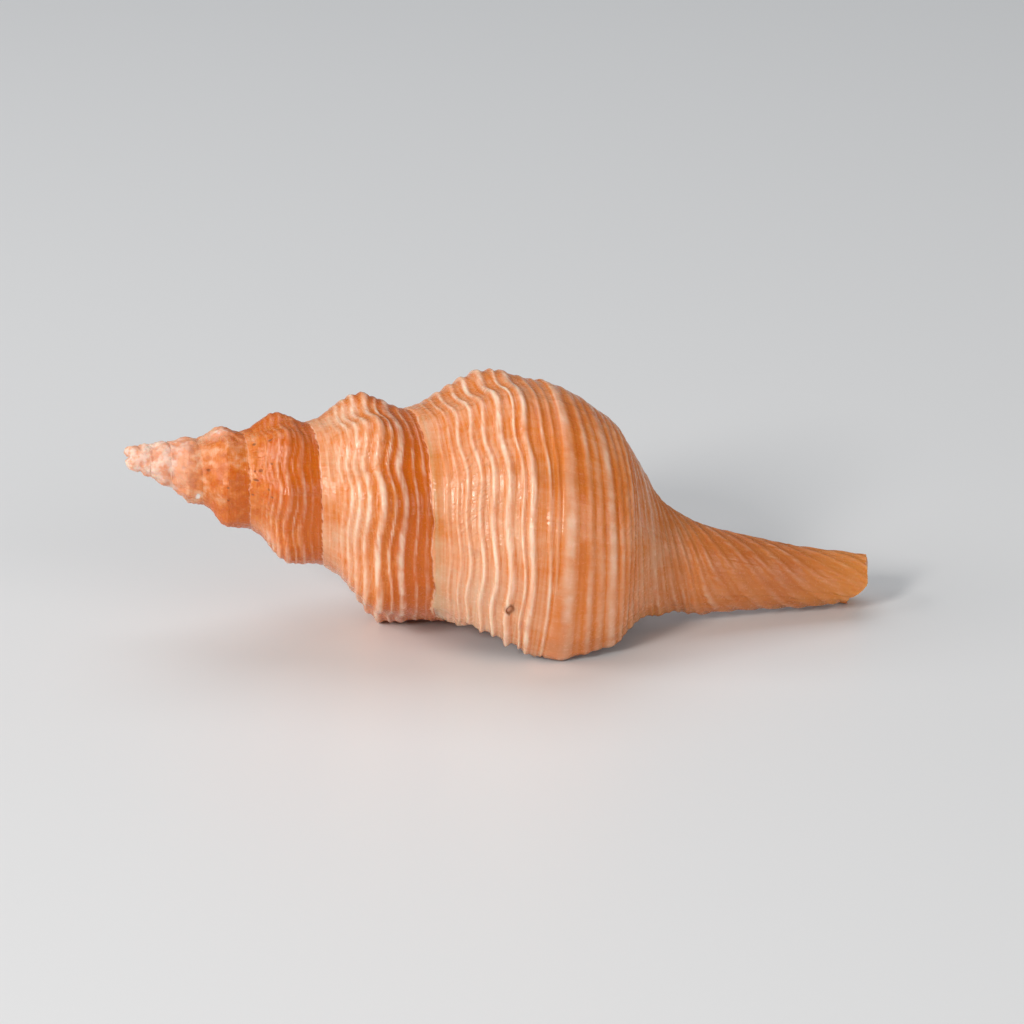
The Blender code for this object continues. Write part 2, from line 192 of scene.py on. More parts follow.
WORN = (2.0, 11.5)  # mm along the axis where the wear fades, over how many
RUBBED = [(-3.4, 0.42, 0.06, 0.3, 0.85), (-2.04, 0.3, 0.03, 0.28, 0.55),  # turn, station, reaches, amount
          (-0.02, 0.1, 0.03, 0.14, 0.45)]
RUBBED_EDGE = (0.012, 0.55)  # reach in stations, amount
LUMPS = (1.4, 0.03, 0.12)  # size, height everywhere, more where worn or mottled, mm
BITES = (0.75, 0.09)  # where worn: size and depth, mm

# growth stops, where the wall steps down a little: turn, height mm
GROWTH_STOPS = [(-0.045, 0.03), (-0.075, 0.05), (-0.19, 0.06), (-0.268, 0.04), (-0.44, 0.05), (-0.6, 0.04),
                (-0.87, 0.07), (-1.18, 0.05), (-1.33, 0.04), (-1.62, 0.05), (-2.21, 0.05), (-2.43, 0.04),
                (-3.2, 0.05)]
STOP_LENGTH = 0.012  # turns that the wall thickens over
GROWTH_LINES = (1.9, 0.035)  # pitch and height, mm

SUTURE_FADE = 0.03  # stations over which the relief dies out
SCALLOP = 0.4  # how far the newer whorl's edge wanders, mm
SCALLOP_PITCH = (4.1, 1.7)  # of long and short waves, mm
SCALLOP_REACH = 0.08  # stations
EDGE_STEP = 0.17  # how far that edge stands up
EDGE_STEP_WIDTH = 0.01
EDGE_STEP_FADE = 0.16
SEAM_DEPTH = 0.08  # fine groove beside that edge, mm
SEAM_WIDTH = 0.02

FOOT = 0.12  # what touches the table is flat over this height, mm

RINGED = 0.3  # wider pits are darker only round their rim
PIT_RING = (0.85, 0.34)  # place and reach of that ring, in radii
PIT_RIM = (1.15, 0.25, 0.12)  # raised rim: place, reach, height as a share of the depth
PIT_RAGGED = (0.1, 6.0)  # outline: how ragged, waves in a mm
PIT_REACH = 1.9  # radii that are made finer round a pit
PIT_STEP = 0.36  # longest edge, as a share of the radius

# pits: turn, station, radius mm, depth mm, longer along the profile by, how dark, or below 0 for a white spot
PITS = [
    (-0.095, 0.658, 0.64, 0.2, 0.62, 1.4), (-2.315, 0.355, 0.16, 0.09, 2.2, 1.0),
    (-2.322, 0.105, 0.2, 0.1, 1.2, 1.0), (-2.25, 0.33, 0.11, 0.06, 1.8, 0.8),
    (-2.23, 0.165, 0.2, 0.1, 1.4, 1.0), (-2.226, 0.085, 0.13, 0.07, 1.1, 0.9),
    (-2.199, 0.09, 0.15, 0.09, 2.6, 1.0), (-2.181, 0.29, 0.15, 0.08, 1.4, 1.0),
    (-2.165, 0.35, 0.13, 0.07, 2.0, 0.9), (-2.15, 0.045, 0.12, 0.06, 1.8, 0.8),
    (-4.05, 0.86, 0.56, 0.07, 0.46, -1.2), (-3.205, 0.13, 0.17, 0.09, 1.6, 0.9),
    (-3.16, 0.6, 0.14, 0.07, 1.3, 0.8), (-3.115, 0.6, 0.13, 0.07, 1.3, 0.8),
]

# ---------------- where the colours lie

# what each point of the wall is painted with; cord is below 0 along a cord's foot, where shade is painted
PAINT = ["cord", "stain", "worn", "inside", "pit", "scuff", "dull", "mottle", "amber"]
DULL = [(1.2, 0.0), (1.45, 0.6), (1.8, 1.0), (2.1, 0.9), (2.3, 0.5)]  # how dull, by the cord's station
MOTTLE = [(-6.7, 1.0), (-3.6, 1.1), (-3.0, 0.8), (-2.4, 0.5), (-1.8, 0.2), (0.0, 0.0)]  # how mottled, by turn
THIN_REACH = 0.05  # turns in from the lip that let light through
SEAM_SHADE = (0.3, 0.014)  # painted shade in the crease where each whorl covers the one before: how much, and its reach in stations
MOUTH_DEPTH = (0.35, 0.65, 0.5)  # deeper colour: at the edge, added, over what share

# patches of fine slanting scratches: turn, station, reach in turns, reach in stations, how many
SCUFFS = [(-0.24, 0.34, 0.09, 0.2, 1.0), (-0.3, 0.62, 0.08, 0.16, 0.5), (-1.24, 0.45, 0.1, 0.25, 0.6),
          (-3.18, 0.5, 0.16, 0.4, 0.4), (-2.2, 0.3, 0.14, 0.25, 0.4), (-0.62, 0.5, 0.12, 0.25, 0.7),
          (-0.25, 1.16, 0.06, 0.06, 0.9), (-0.85, 0.4, 0.1, 0.2, 0.5), (-1.65, 0.5, 0.12, 0.25, 0.6)]

# how deep the orange is: stations, then the amount at each, by turn
STAIN_STATIONS = [0.0, 0.15, 0.35, 0.55, 0.75, 1.0, 1.12, 1.35, 1.75, 2.0]
STAIN = [
    (-5.5, 0.5, 0.45, 0.45, 0.5, 0.5, 0.55),
    (-3.6, 0.66, 0.66, 0.66, 0.72, 0.8, 0.84),
    (-3.1, 0.78, 0.83, 0.84, 0.9, 1.0, 1.1),
    (-2.2, 0.74, 0.78, 0.9, 1.04, 1.16, 1.18),
    (-1.75, 0.6, 0.62, 0.72, 0.85, 1.05, 1.12),
    (-1.25, 0.44, 0.4, 0.36, 0.6, 1.0, 1.1),
    (-1.05, 0.44, 0.42, 0.42, 0.64, 1.0, 1.1),
    (-0.8, 0.62, 0.66, 0.7, 0.78, 0.88, 0.9, 0.84, 0.78, 0.88, 0.84),
    (-0.65, 0.6, 0.64, 0.66, 0.72, 0.78, 0.78, 0.74, 0.68, 0.84, 0.8),
    (-0.5, 0.46, 0.5, 0.5, 0.54, 0.6, 0.62, 0.62, 0.56, 0.8, 0.76),
    (-0.3, 0.52, 0.54, 0.48, 0.5, 0.58, 0.64, 0.62, 0.52, 0.84, 0.78),
    # near the lip the middle stations stay pale: partly the shell's own paler band, partly a painted sheen of
    # the glossy middle of the last whorl
    (-0.18, 0.48, 0.43, 0.28, 0.3, 0.41, 0.62, 0.6, 0.46, 0.86, 0.76),
    (-0.05, 0.32, 0.25, 0.14, 0.15, 0.26, 0.5, 0.54, 0.46, 0.72, 0.66),
]

# ---------------- mesh steps

STEPS = 160  # per turn
WHORL_COLUMNS = [60, 42, 30, 22, 16, 12]  # last whorl but one first
EDGE_COLUMNS = [0.0, 0.005, 0.013, 0.025]  # stations close to a whorl's edge
# columns above the joining line, then each part of the base: first and last station, columns
COLUMNS = (100, [(1.0, 1.111, 44), (1.111, 1.45, 60), (1.45, 2.0, 74)])
INNER_COLUMNS = (56, [(1.0, 1.45, 44), (1.45, 2.0, 24)])
TUBE_COLUMNS = (14, [(1.0, 1.45, 9), (1.45, 2.0, 8)])
EDGE_ROWS = 3
NEAR_MOUTH = 0.1  # share of the mouth that keeps the fine columns
NEAR_ROWS = 5
FAR_ROWS = 16
TUBE_ROWS = 42
SHARP_EDGE = math.radians(55)  # edges past this stay sharp


def cubic_through(knots, values, x):
    """A smooth curve through values at the given knots, level beyond them."""
    knots = np.asarray(knots, float)
    values = np.asarray(values, float)
    x = np.clip(x, knots[0], knots[-1])
    flat = values.reshape(len(knots), -1)
    span = np.diff(knots)[:, None]
    slope = np.diff(flat, axis=0) / span
    inner = (slope[:-1] * span[1:] + slope[1:] * span[:-1]) / (span[:-1] + span[1:])
    tangent = np.concatenate([slope[:1], inner, slope[-1:]])
    i = np.clip(np.searchsorted(knots, x, side="right") - 1, 0, len(knots) - 2)
    t = ((x - knots[i]) / span[i, 0])[..., None]
    curve = hermite(flat[i], flat[i + 1], tangent[i] * span[i], tangent[i + 1] * span[i], t)
    return curve.reshape(x.shape + values.shape[1:])


def hermite(start, end, start_tangent, end_tangent, t):
    return (start * (1 + 2 * t) * (1 - t) ** 2 + start_tangent * t * (1 - t) ** 2
            + end * t * t * (3 - 2 * t) + end_tangent * t * t * (t - 1))


def ease(t):
    t = np.clip(t, 0.0, 1.0)
    return t * t * (3 - 2 * t)


def fade_in(value, start, span):
    return ease((value - start) / span)


def fade_out(value, end, span):
    return ease((end - value) / span)


def hump(value, middle, reach):
    return np.exp(-((value - middle) / reach) ** 2)


def along(table, station):
    stations, values = zip(*table)
    return np.interp(station, stations, values)


def suture(turn):
    """The line where each whorl joins the one before it, as (x, radius) points."""
    def grown(back):
        return np.stack([SUTURE_X * GROWTH_X ** back, SUTURE_R * GROWTH_R ** back], -1)

    knots, *places = zip(*JOIN_LINE)
    joined = cubic_through([-0.5, 0.0, *knots], [grown(-0.5), grown(0.0), *zip(*places)], turn)
    return np.where((turn <= 0)[..., None], grown(np.minimum(turn, 0.0)), joined)


RIB_TURNS = np.array(sorted((math.radians(azimuth) - LIP_AZIMUTH) / math.tau - whorl
                            for whorl, crests in enumerate(RIB_CRESTS) for azimuth in crests))


def rib(turn):
    """1 on the crest of a rib and -1 halfway to the next."""
    i = np.clip(np.searchsorted(RIB_TURNS, turn, side="right") - 1, 0, len(RIB_TURNS) - 2)
    return np.cos(math.tau * (turn - RIB_TURNS[i]) / (RIB_TURNS[i + 1] - RIB_TURNS[i]))


def unit(vector):
    return vector / np.linalg.norm(vector, axis=-1, keepdims=True)


def square_to(line):
    return np.stack([-line[..., 1], line[..., 0]], -1)


def covered(turn):
    """1 where the next whorl covers this one's far edge, 0 on the last whorl."""
    return fade_out(turn, -0.97, 0.03)


def slope_point(turn, station):
    """The whorl between its suture and the next joining line, with its ribbed shoulder."""
    start = suture(turn)
    chord = suture(turn + 1) - start
    turns, *rows = zip(*SHOULDER)
    rise, shoulder = [cubic_through(turns, row, turn) for row in rows]
    rise = rise * (1 + along(RIB_STRENGTH, turn) * rib(turn)) * along(FLAT_WORN, turn)
    up = station / shoulder
    down = (1 - station) / (1 - shoulder)
    height = np.where(station < shoulder, STEEP_SHARE * up + (1 - STEEP_SHARE) * ease(up),
                      FALL_SHARE * down + (1 - FALL_SHARE) * ease(down))
    height = height - CREST_SOFTENING * hump(station, shoulder, CREST_WIDTH)
    point = start + station[..., None] * chord + (rise * height)[..., None] * square_to(chord)
    swelling = SWELLING_HEIGHT * hump(turn, *SWELLING[0]) * hump(station, *SWELLING[1])
    joined = covered(turn) * (1 - fade_out(station, 1, 0.1))
    point[..., 1] += swelling * ease(station / 0.1) * (1 - joined)
    return point


def base_point(turn, station):
    """The base, the neck and the canal of the last whorl."""
    controls = [slope_point(turn, np.full(turn.shape, 0.9)), suture(turn + 1)]
    controls += [cubic_through(BASE_TURNS, row, turn) for row in zip(BASE_START, BASE_TOP, BASE_LIP)]
    controls = np.stack(controls)
    spans = len(BASE_LIP)
    place = np.clip((station - 1) * spans, 0.0, spans - 1e-9)
    i = place.astype(int)
    before, start, end, after = [np.take_along_axis(controls, n[None, ..., None].repeat(2, -1), 0)[0]
                                 for n in (i, i + 1, i + 2, np.minimum(i + 3, spans + 1))]
    first = unit(start - before) * np.linalg.norm(end - start, axis=-1, keepdims=True)
    start_tangent = np.where((i == 0)[..., None], first, (end - before) / 2)
    return hermite(start, end, start_tangent, (after - start) / 2, (place - i)[..., None])


def wall_point(turn, station):
    """The plain wall as (x, radius), for arrays of turns and stations of one shape."""
    on_slope = slope_point(turn, np.minimum(station, 1.0))
    return np.where((station <= 1)[..., None], on_slope, base_point(turn, station))


def outward(turn, station):
    """The direction out of the wall, square to its profile."""
    reach = 0.02
    return square_to(unit(wall_point(turn, np.minimum(station + reach, 2.0))
                          - wall_point(turn, np.maximum(station - reach, 0.0))))


def in_space(point, turn):
    """(x, radius) points turned to their azimuth, with the canal's lean."""
    x, radius = point[..., 0], point[..., 1]
    azimuth = LIP_AZIMUTH + math.tau * turn
    lean = CANAL_LEAN * np.maximum((x - LEAN_FROM) / LEAN_LENGTH, 0.0) ** 2
    return np.stack([x, -radius * np.sin(azimuth), radius * np.cos(azimuth) + lean], -1)


def grain(points, scale, seed, octaves=3):
    """Fractal noise of about -1 to 1 at a set of points, with grains scale mm across."""
    shift = Vector((17.0, 5.0, 29.0)) * seed
    places = points.reshape(-1, 3) / scale
    values = [noise.fractal(Vector(place) + shift, 0.5, 2.0, octaves) for place in places]
    return np.array(values).reshape(points.shape[:-1])


def wander(turn, pitch, seed, octaves=3):
    """Noise along the growth, with pitch mm between its swings on the last whorl."""
    nothing = np.zeros_like(turn)
    return grain(np.stack([turn * (math.tau * SUTURE_R), nothing, nothing], -1), pitch, seed, octaves)


def slantwise(turn, station):
    """The station that a cord on the base keeps all along, seen a fifth of a turn before the lip."""
    return station - along(SLANT, station) * (turn - SLANT_TURN)


def bead(distance):
    """A cord's cross section, 1 on its crest and 0 past its foot."""
    return np.maximum(1 - distance * distance, 0.0) ** 1.5


def cords(turn, station):
    """The cords' height in mm and their paleness, which is below 0 along their feet, where shade is painted."""
    height, pale, deep = np.zeros((3, *station.shape))
    swing = along(CORD_WOBBLE, turn) * rib(turn) * np.sin(math.pi * np.clip(station, 0, 1))
    pitch, spread = CORD_BREAKS
    line = [turn * math.tau * SUTURE_R / pitch, station * WHORL_LENGTH / spread, np.zeros_like(station)]
    breaks = grain(np.stack(line, -1), 1.0, 11)
    kept = slantwise(turn, station) + CORD_STRAY / BASE_LENGTH * breaks * fade_in(station, 1.2, 0.2)
    broader = along(CORD_BROADER, turn)
    lanes = [((station - np.interp(turn, CORD_TURNS, places) - swing) / broader, width, tall, paleness, 1.0)
             for *places, width, tall, paleness in CORDS]
    on_base = fade_in(station, 0.93, 0.07)
    lanes += [(kept - centre, width, tall, paleness, on_base) for centre, width, tall, paleness in BASE_CORDS]
    first, last, spacing = CANAL_CORDS
    share, rate = CANAL_UNEVEN
    for i, centre in enumerate(np.arange(first, last, spacing)):
        stray = share * spacing * math.sin(rate * i)
        lanes.append((kept - centre - stray, *CANAL_CORD[i % len(CANAL_CORD)], on_base))
    out, line, least = CORD_FOOT_SHADE
    for offset, width, tall, paleness, share in lanes:
        height += tall * share * bead(offset / (CORD_FOOT * width))
        away = np.abs(offset)
        pale = np.maximum(pale, paleness * share * fade_out(away / width, *CORD_TOP))
        # painted shade along each cord's foot, gathered in deep
        foot = hump(away, out * width, max(line * width, least))
        deep = np.maximum(deep, min(1.0, 1.5 * paleness) * share * foot)
    uneven = UNEVEN[0] + UNEVEN[1] * fade_in(station, 1.1, 0.3)
    height = height * along(CORD_RELIEF, turn) * (1 + uneven * breaks)
    broken = pale * np.clip(1 + 1.6 * uneven * breaks, 0.0, 1.3)
    return height, np.where(pale > PALE_LEAST, broken, pale - FOOT_SHADE_DEPTH * deep) * along(CORD_COLOUR, turn)


def lip_edge(station):
    """The turn at which the lip ends."""
    station = np.asarray(station, float)
    pale = cords(np.full(station.shape, LIP_CORDS_TURN), station)[1]
    window = fade_in(station, 0.3, 0.05) * fade_out(station, 1.62, 0.1)
    return along(LIP_EDGE, station) + LIP_JAG * (np.maximum(pale, 0.0) - 0.35) * window


def slot_edge(station):
    return -1 + along(SLOT_SWEEP, station)


def soft_patches(table, turn, station):
    """The strongest of a table's soft-edged patches at each place."""
    return np.max([amount * hump(turn, at_turn, turn_reach) * hump(station, at_station, reach)
                   for at_turn, at_station, turn_reach, reach, amount in table], axis=0)


def wear(point, turn, station):
    """How worn the wall is: 1 at the tip, 0 past the first whorls, with rubbed patches further on."""
    worn = np.maximum(1 - fade_in(point[..., 0], *WORN), soft_patches(RUBBED, turn, station))
    reach, amount = RUBBED_EDGE
    return np.maximum(worn, amount * hump(station, 0.0, reach) * fade_in(turn, -3.5, 1.0))


def edge_shift(turn):
    """How the newer whorl's edge wanders over the older one, as (x, radius)."""
    size = GROWTH_R ** np.minimum(turn, 0.0)
    long, short = SCALLOP_PITCH
    amount = SCALLOP * size * (wander(turn, long, 3, 2) + 0.6 * wander(turn, short, 4, 1))
    return amount[..., None] * unit(suture(turn) - slope_point(turn - 1, np.full(turn.shape, 0.9)))


def outer_skin(turn, station):
    """The finished outer surface in space, in mm, with the cords' paleness."""
    turn, station = np.broadcast_arrays(turn, station)
    size = GROWTH_R ** np.minimum(turn, 0.0)
    point = wall_point(turn, station)
    under = covered(turn)
    from_suture = ease(station / SUTURE_FADE)
    from_edge = ease(station / EDGE_STEP_FADE)
    to_suture = 1 - under * (1 - fade_out(station, 1, SUTURE_FADE))
    for here, share, away in ((turn, 1.0, station), (turn + 1, under, 1 - station)):
        near = share * np.maximum(1 - away / SCALLOP_REACH, 0.0) ** 2
        point = point + near[..., None] * edge_shift(here)
    tall, pale = cords(turn, station)
    relief = CORD_SCALE * tall * np.maximum(size, 0.2) ** 0.8
    relief += RIB_RELIEF * size * along(RIB_SHARE, turn) * rib(turn) * hump(station, *RIB_PLACE)
    pitch, tall = GROWTH_LINES
    relief += tall * size * wander(turn + 0.02 * np.sin(3 * station), pitch, 6)
    for stop, tall in GROWTH_STOPS:
        ahead = turn - stop - 0.006 * np.sin(9 * station + 40 * stop)
        relief += tall * size * np.where(ahead < 0, np.exp(ahead / STOP_LENGTH), 0.0)
    place = in_space(point, turn)
    worn = wear(point, turn, station)
    across, everywhere, more = LUMPS
    relief += (everywhere * size + more * (worn + along(MOTTLE, turn))) * grain(place, across, 1)
    across, deep = BITES
    relief += deep * worn * grain(place, across, 2)
    step = (1 - np.exp(-station / EDGE_STEP_WIDTH)) * (1 - from_edge)
    height = relief * from_suture + EDGE_STEP * size * step
    height = (height - RELIEF_SINK * size * from_edge) * to_suture
    seam = under * np.exp(-(1 - station) / SEAM_WIDTH) * ease((1 - station) / 0.008)
    point = point + (height - SEAM_DEPTH * size * seam)[..., None] * outward(turn, station)
    point[..., 1] += TIP_SWELL * hump(point[..., 0], *TIP_SWELL_AT)
    pitch, tall = CANAL_FRAY
    point[..., 0] += fade_in(station, 1.9, 0.1) * (along(CANAL_END, turn) + tall * wander(turn, pitch, 9))
    return in_space(point, turn), pale


def outer_hollow(station, share):
    """The hollow's outer side, inside the last whorl's wall, as (x, radius) and turn."""
    turn = lip_edge(station) * (1 - share) - CANAL_DEPTH * share
    depth = lip_edge(station) - turn
    wall = LIP_WALL + (DEEP_WALL - LIP_WALL) * ease(depth / WALL_DEPTH)
    wall = wall * (1 - CANAL_THINNING * fade_in(station, *CANAL_THIN))
    lirae = cords(np.full(station.shape, LIP_CORDS_TURN), station)[0]
    wall = wall + LIRAE * lirae * ease(depth / 0.03) * (1 - fade_in(depth, 0.2, 0.15)) - LIRAE_AT_LIP * lirae
    inset = station + CORNER_INSET * np.maximum(1 - station / CORNER_REACH, 0.0) ** 2
    point = wall_point(turn, inset) - wall[..., None] * outward(turn, inset)
    pillar = along(PILLAR, point[..., 0])
    radius = np.maximum(point[..., 1], pillar + PILLAR_GAP)
    point[..., 1] = radius + (pillar - radius) * fade_in(station, NECK_FROM, NECK - NECK_FROM) * share ** 3
    return point, turn


def inner_hollow(station, share, outer):
    """The hollow's inner side: the glazed earlier whorl, then the columella."""
    turn = slot_edge(station) - (CANAL_DEPTH + along(SLOT_SWEEP, station)) * share
    age = np.minimum(turn + 1, 0.0)
    start_turn = np.full(station.shape, -1.0)
    start = wall_point(start_turn, station)
    glaze = np.where(share > 0, CALLUS, EDGE_GLAZE * CALLUS)
    shrink = np.stack([GROWTH_X ** age, GROWTH_R ** age], -1)
    earlier = start * shrink + glaze[..., None] * outward(start_turn, station)
    pillar = np.stack([outer[..., 0], along(PILLAR, outer[..., 0])], -1)
    canal = fade_in(station, 1.2, 0.3)[..., None]
    return earlier + (pillar - earlier) * canal, turn


def spaced(slope_columns, base_columns):
    """Stations of a profile, closer together at the suture's edge."""
    columns = EDGE_COLUMNS[:-1] + list(np.linspace(EDGE_COLUMNS[-1], 1.0, slope_columns - 2))
    for start, end, count in base_columns:
        columns += list(np.linspace(start, end, count + 1)[1:])
    if base_columns:
        nearest = min(range(len(columns)), key=lambda i: abs(columns[i] - NECK))
        columns[nearest] = NECK
    return np.array(columns)


def snapped(stations, coarse):
    """Stations moved to the nearest of a coarser set, so that two grids meet."""
    return coarse[np.abs(stations[:, None] - coarse[None, :]).argmin(axis=1)]


def narrowing(wide, narrow, rows):
    """The stations of a grid whose last row meets a grid with fewer columns."""
    stations = np.tile(wide, (rows, 1))
    stations[-1] = snapped(wide, narrow)
    return stations


# ---------------- making the shell

def wrap(name, points, turns, stations, **paint):
    """A flat grid, wrapped to an array of points. Its UV map has the turn and the cord's own station."""
    rows, columns = points.shape[:2]
    bpy.ops.mesh.primitive_grid_add(x_subdivisions=rows - 1, y_subdivisions=columns - 1, size=1)
    skin = bpy.context.active_object
    skin.name = name
    mesh = skin.data
    flat = np.empty(len(mesh.vertices) * 3)
    mesh.vertices.foreach_get("co", flat)
    row, column = np.rint((flat.reshape(-1, 3)[:, :2] + 0.5) * [rows - 1, columns - 1]).astype(int).T
    mesh.vertices.foreach_set("co", (points[row, column] * MM).ravel())
    corners = np.empty(len(mesh.loops), int)
    mesh.loops.foreach_get("vertex_index", corners)
    turns = np.broadcast_to(turns, (rows, columns))
    places = np.stack([turns, slantwise(turns, np.broadcast_to(stations, (rows, columns)))], -1)
    mesh.uv_layers[0].name = "growth"
    mesh.uv_layers[0].data.foreach_set("uv", places[row, column][corners].ravel())
    for field in PAINT:
        values = np.broadcast_to(np.asarray(paint.get(field, 0.0), float), (rows, columns))
        mesh.attributes.new(field, "FLOAT", "POINT").data.foreach_set("value", values[row, column])
    return skin


def stain(turn, station):
    """How deep the orange is, from 0 to 1."""
    turns = np.array([row[0] for row in STAIN])
    columns = np.stack([np.interp(station, STAIN_STATIONS[:len(row) - 1], row[1:]) for row in STAIN])
    turn = np.clip(turn, turns[0], turns[-1])
    i = np.clip(np.searchsorted(turns, turn, side="right") - 1, 0, len(turns) - 2)
    share = ease((turn - turns[i]) / (turns[i + 1] - turns[i]))
    low, high = [np.take_along_axis(columns, n[None], 0)[0] for n in (i, i + 1)]
    return low + (high - low) * share


def amber(turn, station):
    """1 where the wall is thin and lets light through: the canal's end and the lip beside it."""
    near_lip = ease(1 - (lip_edge(station) - turn) / THIN_REACH) * fade_in(station, 1.05, 0.2)
    return np.maximum(near_lip, fade_in(station, 1.86, 0.14))


def outside(name, turns, stations):
    """A painted skin of the outer wall."""
    turns, stations = np.broadcast_arrays(turns, stations)
    points, pale = outer_skin(turns, stations)
    # painted shade in the crease along each suture goes in with the pits' darker colour
    seam_shade, reach = SEAM_SHADE
    return wrap(name, points, turns, stations, cord=pale, stain=stain(turns, stations),
                worn=wear(points, turns, stations), pit=seam_shade * covered(turns) * hump(stations, 1.0, reach),
                scuff=soft_patches(SCUFFS, turns, stations), dull=along(DULL, slantwise(turns, stations)),
                mottle=along(MOTTLE, turns), amber=amber(turns, stations))


def spire_skins():
    """One skin for each whorl above the last one, with more columns on the younger whorls."""
    skins = []
    coarse = None
    for back, count in reversed(list(enumerate(WHORL_COLUMNS))):
        end = -1.0 - back
        rows = min(STEPS, round((TURNS + end) * STEPS))
        columns = spaced(count, [])
        turns = (end - np.arange(rows, -1, -1) / STEPS)[:, None]
        stations = np.tile(columns, (rows + 1, 1))
        if coarse is not None:
            stations[0] = snapped(columns, coarse)
        skins.append(outside("whorl", turns, stations))
        if coarse is None:
            skins.append(tip_skin(columns))
        coarse = columns
    return skins, coarse


def tip_skin(columns):
    """The worn tip: the first whorl's edge drawn in to a blunt, pitted dome."""
    turns = -TURNS + np.concatenate([np.zeros(len(columns)), np.arange(1, STEPS + 1) / STEPS])
    stations = np.concatenate([columns[::-1], np.zeros(STEPS)])
    loop = outer_skin(turns, stations)[0]
    middle = loop[:-1].mean(axis=0)
    rings = []
    azimuth = np.arctan2(-(loop[:, 1] - middle[1]), loop[:, 2] - middle[2])
    across = np.cos(azimuth - TIP_CLEFT_AZIMUTH)
    lump, tall = TIP_PITTED
    for share, out in TIP_RINGS:
        ring = middle + (loop - middle) * share
        cleft = TIP_CLEFT * hump(share * across, 0.0, TIP_CLEFT_WIDTH) * ease(out / 1.2)
        ring[:, 0] -= np.where(out > 0, out - cleft, 0.0)
        if 0 < share < 1:
            ring += tall * grain(ring, lump, 5)[:, None] * (ring - middle + [-0.5, 0, 0])
        rings.append(ring)
    return wrap("tip", np.stack(rings), turns, stations, stain=0.2, worn=1.0, mottle=1.0)


def last_whorl(columns, older):
    """The last whorl with its base and canal, from the columella's edge round to the lip."""
    share = (np.arange(STEPS + 1) / STEPS)[:, None]
    stations = np.tile(columns, (STEPS + 1, 1))
    on_slope = columns <= 1
    stations[0, on_slope] = snapped(columns[on_slope], older)
    start = np.where(stations > 1, slot_edge(stations), -1.0)
    turns = start + (lip_edge(stations) - start) * share
    turns[:, 0] = -1.0 + share[:, 0]
    return outside("last_whorl", turns, stations)


def fillet(name, first, second, turns, stations, bulge, **paint):
    """A rounded edge between two lines of points."""
    rows = [first + (second - first) * share + bulge * math.sin(math.pi * share)
            for share in (i / EDGE_ROWS for i in range(EDGE_ROWS + 1))]
    return wrap(name, np.stack(rows), turns, stations, **paint)


def mouth_skins(columns):
    """The lip's edge, the columella's edge, the canal's end and the hollow behind them."""
    inner_columns = spaced(*INNER_COLUMNS)
    tube_columns = spaced(*TUBE_COLUMNS)
    near = np.linspace(0, 1, NEAR_ROWS + 1)[:, None] ** 1.5 * NEAR_MOUTH
    far = NEAR_MOUTH + (1 - NEAR_MOUTH) * np.linspace(0, 1, FAR_ROWS + 1)[:, None]
    edge, more, reach = MOUTH_DEPTH
    skins = []
    ends = []
    for share, wide, narrow in ((near, columns, inner_columns), (far, inner_columns, tube_columns)):
        stations = narrowing(wide, narrow, len(share))
        outer, turns = hollow_side(stations, share)
        inside = edge + more * ease(share / reach)
        skins.append(wrap("hollow", outer, turns, stations, inside=inside))
        stations = narrowing(wide[wide > 1], narrow[narrow > 1], len(share))
        inner, turns = columella_side(stations, share)
        closed = (share == 1) & (stations >= NECK - 1e-9)
        inner = np.where(closed[..., None], hollow_side(stations, share)[0], inner)
        corner, corner_turns = hollow_side(np.zeros(share.shape), share)
        inner = np.concatenate([corner, inner], axis=1)
        turns = np.concatenate([corner_turns - 1, turns], axis=1)
        stations = np.concatenate([np.ones(share.shape), stations], axis=1)
        skins.append(wrap("columella", inner, turns, stations, inside=inside))
        ends.append((outer, inner))
    return skins + edge_skins(columns, ends) + [tube_skin(tube_columns)]


def hollow_side(stations, share):
    stations, share = np.broadcast_arrays(stations, share)
    point, turn = outer_hollow(stations, share)
    return in_space(point, turn), turn


def columella_side(stations, share):
    stations, share = np.broadcast_arrays(stations, share)
    point, turn = inner_hollow(stations, share, outer_hollow(stations, share)[0])
    point[..., 1] += columella_folds(point, turn, stations) * (1 - share) ** 2
    return in_space(point, turn), turn


def columella_folds(point, turn, station):
    """The height of the low slanting folds on the columella."""
    place = point[..., 0] - FOLD_PITCH * (turn + 1)
    height = sum(FOLD_HEIGHT * bead((place - centre) / FOLD_WIDTH) for centre in FOLDS)
    return height * fade_in(station, 1.12, 0.08) * (1 - fade_in(station, 1.42, 0.08))


def edge_skins(columns, ends):
    """The rounded edges that join the outer skin to the hollow."""
    (near_outer, near_inner), (far_outer, far_inner) = ends
    turns = lip_edge(columns)
    turns[0] = 0.0
    line, pale = outer_skin(turns, columns)
    here, ahead = [in_space(wall_point(turn, columns), turn) for turn in (turns, turns + 0.004)]
    window = ease(columns / 0.1) * ease((2 - columns) / 0.1)
    skins = [fillet("lip", line, near_outer[0], turns, columns, LIP_ROUND * window[:, None] * unit(ahead - here),
                    cord=0.4 * pale, stain=stain(turns, columns), inside=0.2)]
    base = np.concatenate([[1.0], columns[columns > 1]])
    turns = slot_edge(base)
    skins.append(fillet("inner_lip", outer_skin(turns, base)[0], near_inner[0], turns, base, 0.0, inside=0.4))
    share = np.arange(STEPS + 1) / STEPS
    turns = slot_edge(2.0) + (lip_edge(2.0) - slot_edge(2.0)) * share
    end = np.full(STEPS + 1, 2.0)
    groove = np.concatenate([near_inner[:, -1], far_inner[1:, -1],
                             far_outer[-2::-1, -1], near_outer[-2::-1, -1]])
    groove = groove[np.rint(share * (len(groove) - 1)).astype(int)]
    outwards = (CANAL_ROUND * np.sin(math.pi * share))[:, None] * np.array([1.0, 0.0, 0.0])
    skins.append(fillet("canal_end", outer_skin(turns, end)[0], groove, turns, end, outwards,
                        stain=0.3, inside=0.1, amber=1.0))
    return skins


